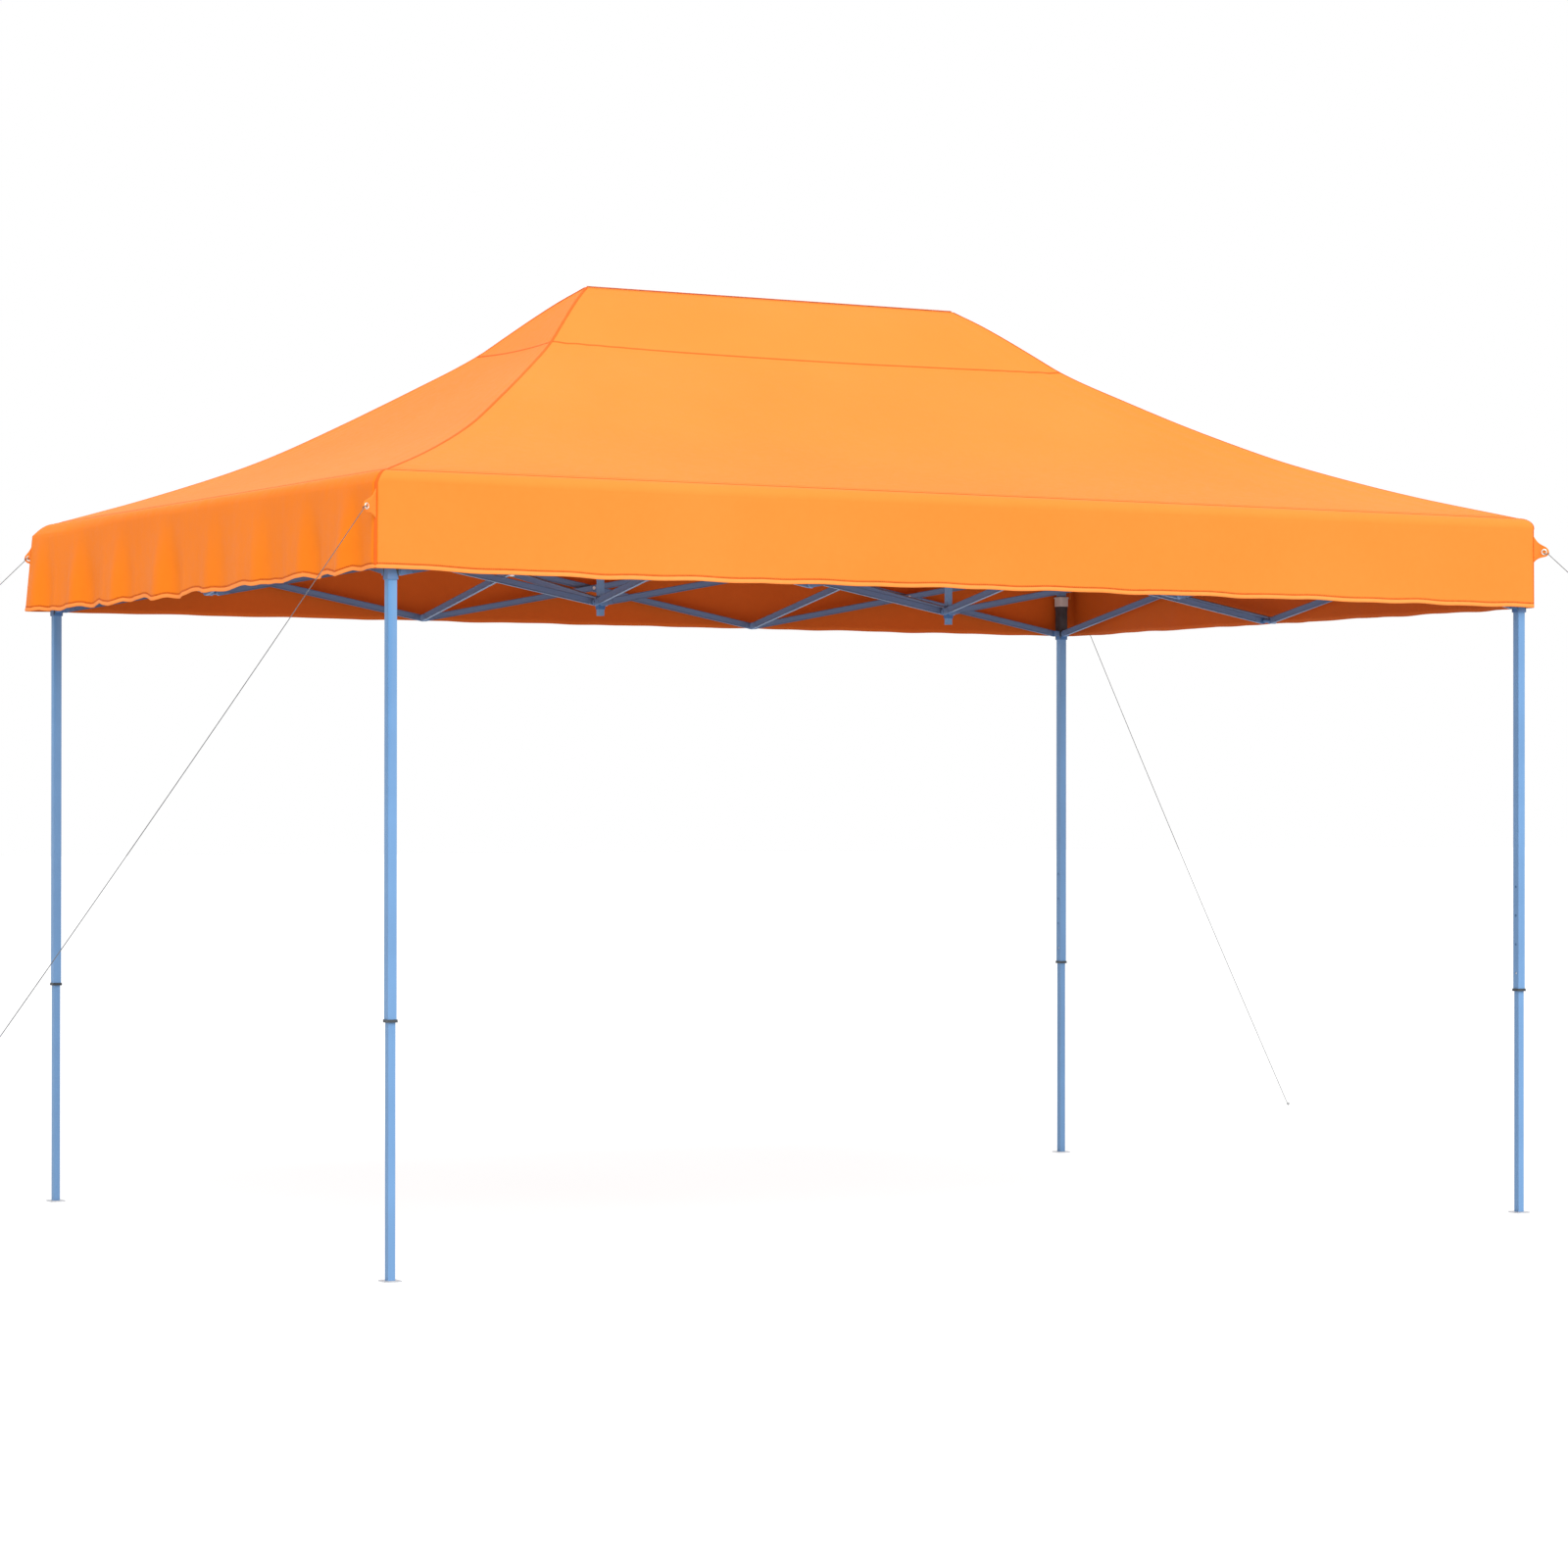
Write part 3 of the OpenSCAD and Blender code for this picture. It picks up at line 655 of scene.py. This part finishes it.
def outward(side, u, v):
    e = 0.004
    u0, u1 = max(0, u - e), min(1, u + e)
    v0, v1 = max(0.001, v - 0.01), min(3, v + 0.01)
    du = surface(side, u1, v)[0] - surface(side, u0, v)[0]
    dv = surface(side, u, v1)[0] - surface(side, u, v0)[0]
    n = dv.cross(du)
    if n.length < 1e-12:
        return Vector((0, 0, 1))
    n.normalize()
    p = surface(side, u, v)[0]
    ref = Vector((p.x * 0.3, p.y * 0.3, 1.0 if v < 1.5 else 0.2))
    return n if n.dot(ref) > 0 else -n


def ribbon(name, centre, normals, width, mat, lift=0.0009, closed=False, across=None, crown=0.0006, thread=True):
    """A sewn tape on the cloth: crowned, thin, closed on its underside."""
    n = len(centre)
    verts, faces = [], []
    prof = [(-0.5, 0.0), (-0.42, 1.0), (-0.14, 1.25), (0.14, 1.25), (0.42, 1.0), (0.5, 0.0)]
    for i in range(n):
        if closed:
            d = (centre[(i + 1) % n] - centre[i - 1]).normalized()
        else:
            d = (centre[min(i + 1, n - 1)] - centre[max(i - 1, 0)]).normalized()
        w = d.cross(normals[i]).normalized() if across is None else across[i]
        for a, b in prof:
            verts.append(centre[i] + w * (a * width) + normals[i] * (lift * 0.3 + crown * b))
    k = len(prof)
    for i in range(n if closed else n - 1):
        j = (i + 1) % n
        for c in range(k - 1):
            faces.append((i * k + c, j * k + c, j * k + c + 1, i * k + c + 1))
        faces.append((i * k + k - 1, j * k + k - 1, j * k, i * k))
    if not closed:
        faces.append(tuple(range(k)))
        faces.append(tuple(reversed(range((n - 1) * k, n * k))))
    ob = new_obj(name, verts, faces, [mat])
    bm = bmesh.new()
    bm.from_mesh(ob.data)
    bmesh.ops.recalc_face_normals(bm, faces=bm.faces)
    bm.to_mesh(ob.data)
    bm.free()
    return ob


def stitches(name, centre, normals, offsets, pitch=0.0045, mat=None, closed=False):
    """Rows of raised thread dashes along a line; one mesh."""
    pts, nr = centre, normals
    cum = [0.0]
    for i in range(1, len(pts)):
        cum.append(cum[-1] + (pts[i] - pts[i - 1]).length)
    total = cum[-1]
    count = int(total / pitch)
    verts, faces = [], []
    i = 0
    for c in range(count):
        s = c * pitch
        while i < len(cum) - 2 and cum[i + 1] < s:
            i += 1
        f = (s - cum[i]) / max(1e-9, cum[i + 1] - cum[i])
        p = pts[i].lerp(pts[i + 1], f)
        d = (pts[i + 1] - pts[i]).normalized()
        nn = nr[i].lerp(nr[i + 1], f).normalized()
        w = d.cross(nn).normalized()
        for off in offsets:
            b = p + w * off + nn * 0.0013
            q = len(verts)
            hl, hw = pitch * 0.36, 0.0006
            verts += [b - d * hl - w * hw, b - d * hl + w * hw, b + d * hl + w * hw, b + d * hl - w * hw,
                      b - d * hl * 0.6 + nn * 0.0005, b + d * hl * 0.6 + nn * 0.0005]
            faces += [(q, q + 1, q + 4), (q + 1, q + 2, q + 5, q + 4), (q + 2, q + 3, q + 5), (q + 3, q, q + 4, q + 5), (q + 3, q + 2, q + 1, q)]
    return new_obj(name, verts, faces, [mat or M_THREAD])


seams = []
# hips: one per corner, from the ridge to the eave and down the corner to the hem
vs_hip = [float(v) for v in np.concatenate([np.linspace(0.004, 1.0, 60), np.linspace(1.1, 2.0, 8), np.linspace(2.05, 3.0, 14)])]
for name, side in (("fl", "front"), ("fr", "right"), ("br", "back"), ("bl", "left")):
    cen = [surface(side, 0.0, v)[0] for v in vs_hip]
    corner = {"fl": Vector((-1, -1, 0)), "fr": Vector((1, -1, 0)), "br": Vector((1, 1, 0)), "bl": Vector((-1, 1, 0))}[name].normalized()
    nrm = []
    for i, v in enumerate(vs_hip):
        d = (cen[min(i + 1, len(cen) - 1)] - cen[max(i - 1, 0)]).normalized()
        along = Vector((-corner.y, corner.x, 0))
        nn = d.cross(along).normalized()
        if nn.dot(corner + Vector((0, 0, 0.5 if v < 1.5 else 0))) < 0:
            nn = -nn
        nrm.append(nn)
    seams.append(ribbon("seam_hip_" + name, cen, nrm, 0.010, M_SEAM, crown=0.0010))


def loop_line(v, keep_sides=("front", "right", "back", "left")):
    cen, nrm = [], []
    for side, us in SIDES:
        for u in us[:-1]:
            cen.append(surface(side, u, v)[0])
            nrm.append(outward(side, u, v))
    return cen, nrm


cen, nrm = loop_line(0.20)
seams.append(ribbon("seam_upper", cen, nrm, 0.009, M_SEAM, closed=True, crown=0.0006))
cen, nrm = loop_line(1.0)
seams.append(ribbon("seam_eave", cen, nrm, 0.008, M_SEAM, closed=True, crown=0.0014))
# ridge seam
cen = [Vector((float(x) + RIDGE_DX, RIDGE_DY, height(0) + 0.0006)) for x in np.linspace(-RX, RX, 60)]
nrm = [Vector((0, 0, 1))] * 60
seams.append(ribbon("seam_ridge", cen, nrm, 0.010, M_OUT, crown=0.0008))
# hem: the turned-up edge, both faces, with its line of stitches
hem_c, hem_n, hem_w = [], [], []
for side, us in SIDES:
    for u in us[:-1]:
        hem_c.append(surface(side, u, 2.976)[0])
        hem_n.append(outward(side, u, 2.976))
seams.append(ribbon("hem_band", hem_c, hem_n, 0.012, M_HEM, closed=True, crown=0.0012))
cen, nrm = loop_line(2.945)
seams.append(ribbon("hem_groove", cen, nrm, 0.0017, M_THREAD, closed=True, crown=0.0004))
cen, nrm = loop_line(2.935)
seams.append(stitches("hem_stitches", cen + [cen[0]], nrm + [nrm[0]], (0.0,), pitch=0.007))
cen, nrm = loop_line(0.985)
seams.append(stitches("eave_stitches", cen + [cen[0]], nrm + [nrm[0]], (0.0,), pitch=0.007))
for s in seams:
    soft(s)

# ---------------------------------------------------------------- corner tabs and eyelets
tabs = []
for name, sx, sy in (("fl", -1, -1), ("fr", 1, -1), ("bl", -1, 1), ("br", 1, 1)):
    side, uu = {"fl": ("front", 0.0), "fr": ("right", 0.0), "br": ("back", 0.0), "bl": ("left", 0.0)}[name]
    tip = Vector(TABS[name])
    outd = Vector((PEGS[name][2] - tip.x, PEGS[name][3] - tip.y, 0)).normalized()
    top = surface(side, uu, 2.04)[0] - outd * 0.004
    bot = surface(side, uu, 2.44)[0] - outd * 0.004
    cross = Vector((-outd.y, outd.x, 0))
    grid_u, grid_v = 14, 12
    verts, faces = [], []
    for i in range(grid_u + 1):
        a = i / grid_u
        for j in range(grid_v + 1):
            b = j / grid_v
            root = top.lerp(bot, b)
            # the tip is a small round around the eyelet
            ang = math.radians(70 - 140 * b)
            end = tip + outd * (0.017 * math.cos(ang)) + Vector((0, 0, 0.017 * math.sin(ang)))
            p = root.lerp(end, a)
            pinch = 1 - 0.22 * math.sin(math.pi * a)
            midline = top.lerp(bot, 0.5).lerp(tip, a)
            p = midline + (p - midline) * pinch
            p += cross * (0.0035 * math.sin(3.0 * a + 2.2 * b) * math.sin(math.pi * a))
            verts.append(p)
    for i in range(grid_u):
        for j in range(grid_v):
            q = i * (grid_v + 1) + j
            faces.append((q, q + grid_v + 1, q + grid_v + 2, q + 1))
    tab = new_obj("corner_tab_" + name, verts, faces, [M_OUT, M_OUT])
    m = tab.modifiers.new("t", "SOLIDIFY")
    m.thickness = 0.0022
    m.offset = 0
    apply_modifiers(tab)
    # eyelet: a rolled ring on both faces
    ring = []
    prof = [(0.0060, 0.0006), (0.0064, 0.0022), (0.0080, 0.0029), (0.0100, 0.0024), (0.0112, 0.0013), (0.0112, -0.0013), (0.0100, -0.0024),
            (0.0080, -0.0029), (0.0064, -0.0022), (0.0060, -0.0006)]
    rv, rf = [], []
    seg = 32
    for i in range(seg):
        a = 2 * math.pi * i / seg
        rad = outd * math.cos(a) + Vector((0, 0, 1)) * math.sin(a)
        for rr, off in prof:
            rv.append(tip + rad * rr + cross * off)
    k = len(prof)
    for i in range(seg):
        j = (i + 1) % seg
        for c in range(k):
            d = (c + 1) % k
            rf.append((i * k + c, j * k + c, j * k + d, i * k + d))
    eye = new_obj("eyelet_" + name, rv, rf, [M_BRASS])
    bm = bmesh.new()
    bm.from_mesh(eye.data)
    bmesh.ops.recalc_face_normals(bm, faces=bm.faces)
    bm.to_mesh(eye.data)
    bm.free()
    soft(tab)
    soft(eye)
    tabs += [tab, eye]

slope_y = sum((surface("front", 0.5, ROWS[i + 1])[0] - surface("front", 0.5, ROWS[i])[0]).length for i in range(len(ROWS) - 1))
slope_x = sum((surface("left", 0.5, ROWS[i + 1])[0] - surface("left", 0.5, ROWS[i])[0]).length for i in range(len(ROWS) - 1))

# ---------------------------------------------------------------- finish of the CAD parts
def parts_of(ob):
    """Label each polygon with its solid, joining vertices that share a place."""
    me = ob.data
    n = len(me.vertices)
    co = np.zeros(n * 3)
    me.vertices.foreach_get("co", co)
    co = co.reshape(-1, 3)
    key = {}
    parent = list(range(n))

    def find(a):
        while parent[a] != a:
            parent[a] = parent[parent[a]]
            a = parent[a]
        return a
    for i, c in enumerate(np.round(co * 1e5).astype(np.int64)):
        t = tuple(c)
        if t in key:
            parent[find(i)] = find(key[t])
        else:
            key[t] = i
    for p in me.polygons:
        vs = list(p.vertices)
        for v in vs[1:]:
            parent[find(v)] = find(vs[0])
    groups = {}
    for p in me.polygons:
        groups.setdefault(find(p.vertices[0]), []).append(p.index)
    out = []
    for g, polys in groups.items():
        vs = np.unique(np.concatenate([list(me.polygons[i].vertices) for i in polys]))
        c = co[vs]
        out.append((polys, c.min(0), c.max(0)))
    return out


def dress(ob, mats, choose):
    me = ob.data
    me.materials.clear()
    for m in mats:
        me.materials.append(m)
    for polys, lo, hi in parts_of(ob):
        k = choose(lo, hi)
        for i in polys:
            me.polygons[i].material_index = k


def like(d, ref, tol=0.0016):
    return all(abs(a - b) < tol for a, b in zip(sorted(d, reverse=True), sorted(ref, reverse=True)))


def bar_choice(lo, hi):
    d = sorted(hi - lo, reverse=True)
    if d[0] > 1.0:
        return 0
    if abs(d[0] - 0.0548) < 0.0012 and d[1] < 0.0185:
        return 4                       # knuckle
    if abs(d[0] - 0.0326) < 0.0012 and d[1] < 0.0145:
        return 3                       # crossing bolt
    if abs(d[0] - 0.0556) < 0.0012 and d[1] < 0.0145:
        return 3
    if d[0] < 0.0275 and d[2] > 0.0020 and d[0] < 0.026:
        return 2                       # washers and spacers
    return 1


for name, ob in nodes.items():
    if name.startswith("bar_"):
        # bars get the darker painted-shade copy of the blue paint
        dress(ob, [M_BAR_PAINTED_SHADE, M_BLUE2, M_WHITE, M_STEEL, M_BLUE2], bar_choice)
    elif name.startswith("leg_"):
        dress(ob, [M_BLUE, M_BLACK], lambda lo, hi: 0 if (hi - lo)[2] > 1 else 1)
    elif name.startswith("inner_"):
        dress(ob, [M_BLUE, M_BLACK, M_STEEL], lambda lo, hi: 0 if (hi - lo)[2] > 1 else (2 if lo[2] < 0.9 else 1))
    elif name.startswith("post_top"):
        dress(ob, [M_BLUE, M_BLACK], lambda lo, hi: 0 if (hi - lo)[2] > 0.5 else 1)
    elif name.startswith("post_"):
        dress(ob, [M_BLUE, M_BLUE2], lambda lo, hi: 0 if (hi - lo)[2] > 0.4 else 1)
    elif name.startswith("slider_"):
        dress(ob, [M_BLACK, M_BLUE2, M_GREY], lambda lo, hi: 2 if lo[2] > 2.2 else 0)
        z0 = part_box(name)[0].z
        for p in ob.data.polygons:
            if p.center.z < z0 + 0.047:
                p.material_index = 1
    elif name.startswith("crown_"):
        dress(ob, [M_BLUE2], lambda lo, hi: 0)
    elif name.startswith("catch_"):
        dress(ob, [M_GREY], lambda lo, hi: 0)
    elif name.startswith("knuckle_"):
        dress(ob, [M_BLUE2], lambda lo, hi: 0)

# ---------------------------------------------------------------- floor, light
floor_mat = Mat("floor")
co = floor_mat.coord()
fl = floor_mat.n("ShaderNodeBsdfPrincipled")
floor_mat.link(floor_mat.ramp(floor_mat.noise(co, 0.8, 4.0, 0.5), [(0.3, (0.19, 0.19, 0.19)), (0.7, (0.21, 0.21, 0.21))]), fl.inputs["Base Color"])
fl.inputs["Roughness"].default_value = 0.9
fl.inputs["Emission Color"].default_value = (1.0, 1.0, 1.0, 1)
fl.inputs["Emission Strength"].default_value = 0.77
floor_mat.link(fl.outputs[0], floor_mat.out.inputs["Surface"])
floor = new_obj("floor", [(-90, -90, -0.0005), (90, -90, -0.0005), (90, 90, -0.0005), (-90, 90, -0.0005)], [(0, 1, 2, 3)], [floor_mat.m], smooth=False)

world = bpy.data.worlds.new("studio")
bpy.context.scene.world = world
world.use_nodes = True
bg = world.node_tree.nodes["Background"]
bg.inputs["Color"].default_value = (1.0, 1.0, 1.0, 1)
bg.inputs["Strength"].default_value = 1.0


def sun(name, direction, power, angle):
    li = bpy.data.lights.new(name, "SUN")
    li.energy = power
    li.angle = math.radians(angle)
    ob = bpy.data.objects.new(name, li)
    bpy.context.scene.collection.objects.link(ob)
    ob.location = (Vector(direction) * 12)
    ob.rotation_euler = (-Vector(direction)).to_track_quat("-Z", "Y").to_euler()
    return ob


lights = [sun("key", (-0.05, -0.65, 0.76), 2.75, 45)]
